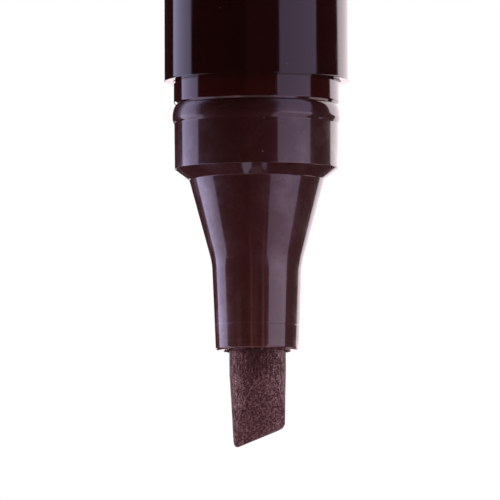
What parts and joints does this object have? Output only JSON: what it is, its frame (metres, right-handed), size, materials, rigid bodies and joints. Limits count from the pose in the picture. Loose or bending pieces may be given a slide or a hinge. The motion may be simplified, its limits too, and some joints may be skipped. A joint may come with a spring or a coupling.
{
  "type": "permanent marker",
  "caption": "Chisel-tip permanent marker with a round barrel, stepped tapering front section, fibre nib fed by an ink reservoir, and a pull-off clip cap posted on its tail.",
  "frame": {"origin": "middle of the cap's flat closed end, which the posted marker stands on", "axes": "+Z runs along the marker from the cap to the nib; +X points to the cap's clip, on the side of the nib's long corner"},
  "size_m": [0.0186, 0.0164, 0.1573],
  "materials": {
    "barrel_plastic": "polished moulded plastic, brown-black",
    "section_plastic": "polished moulded plastic, very dark brown",
    "nib_fibre": "ground bonded fibre soaked with dark ink",
    "reservoir_fibre": "bundled fibre soaked with dark ink",
    "wrap_film": "thin smooth film",
    "tube_plastic": "plain extruded tube",
    "tail_plastic": "polished moulded plastic, brown-black",
    "cap_plastic": "polished moulded plastic, brown-black",
    "liner_plastic": "soft natural moulded plastic"
  },
  "bodies": {
    "cap": {"cap_shell": "cap_plastic", "cap_liner": "liner_plastic"},
    "marker": {"barrel": "barrel_plastic", "front_section": "section_plastic", "nib": "nib_fibre", "ink_reservoir": "reservoir_fibre", "reservoir_wrap": "wrap_film", "breather_tube": "tube_plastic", "tail_plug": "tail_plastic"}
  },
  "joints": [
    {"name": "cap_pull", "type": "slide", "parent": "cap", "child": "marker", "axis": [0, 0, 1], "range_m": [0, 0.04]}
  ]
}
